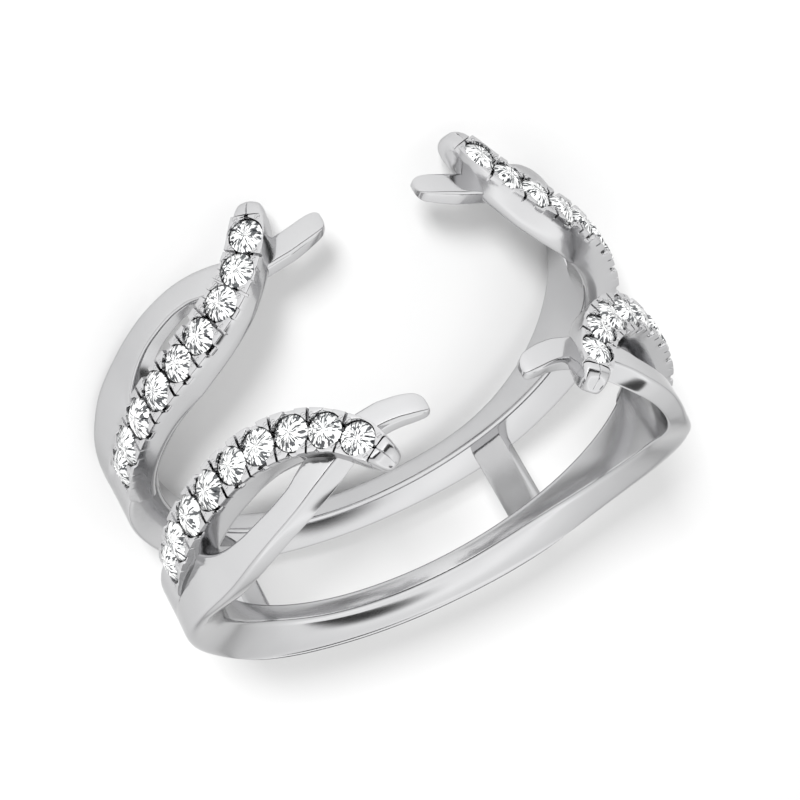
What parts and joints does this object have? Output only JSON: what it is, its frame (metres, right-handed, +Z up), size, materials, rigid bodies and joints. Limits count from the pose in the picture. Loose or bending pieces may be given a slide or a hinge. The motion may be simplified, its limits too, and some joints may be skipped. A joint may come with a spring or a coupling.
{
  "type": "ring guard enhancer",
  "caption": "Polished white metal ring guard with two joined bands and four split arms, each set with a curving row of round brilliant stones.",
  "frame": {"origin": "centre of the bounding box's base, on the surface that the ring lies on", "axes": "+Z up with the ring lying on its side, +X from the left arms to the right arms, +Y from the joined bands under the finger to the open head"},
  "size_m": [0.0204, 0.0206, 0.012],
  "materials": {
    "polished_white_metal": "polished",
    "brilliant_stone": "polished"
  },
  "bodies": {
    "root": {"guard_mount": "polished_white_metal", "stone_front_left_1": "brilliant_stone", "stone_front_left_2": "brilliant_stone", "stone_front_left_3": "brilliant_stone", "stone_front_left_4": "brilliant_stone", "stone_front_left_5": "brilliant_stone", "stone_front_left_6": "brilliant_stone", "stone_front_left_7": "brilliant_stone", "stone_front_left_8": "brilliant_stone", "stone_front_left_9": "brilliant_stone", "stone_front_right_1": "brilliant_stone", "stone_front_right_2": "brilliant_stone", "stone_front_right_3": "brilliant_stone", "stone_front_right_4": "brilliant_stone", "stone_front_right_5": "brilliant_stone", "stone_front_right_6": "brilliant_stone", "stone_front_right_7": "brilliant_stone", "stone_front_right_8": "brilliant_stone", "stone_front_right_9": "brilliant_stone", "stone_back_left_1": "brilliant_stone", "stone_back_left_2": "brilliant_stone", "stone_back_left_3": "brilliant_stone", "stone_back_left_4": "brilliant_stone", "stone_back_left_5": "brilliant_stone", "stone_back_left_6": "brilliant_stone", "stone_back_left_7": "brilliant_stone", "stone_back_left_8": "brilliant_stone", "stone_back_left_9": "brilliant_stone", "stone_back_right_1": "brilliant_stone", "stone_back_right_2": "brilliant_stone", "stone_back_right_3": "brilliant_stone", "stone_back_right_4": "brilliant_stone", "stone_back_right_5": "brilliant_stone", "stone_back_right_6": "brilliant_stone", "stone_back_right_7": "brilliant_stone", "stone_back_right_8": "brilliant_stone", "stone_back_right_9": "brilliant_stone"}
  },
  "joints": []
}
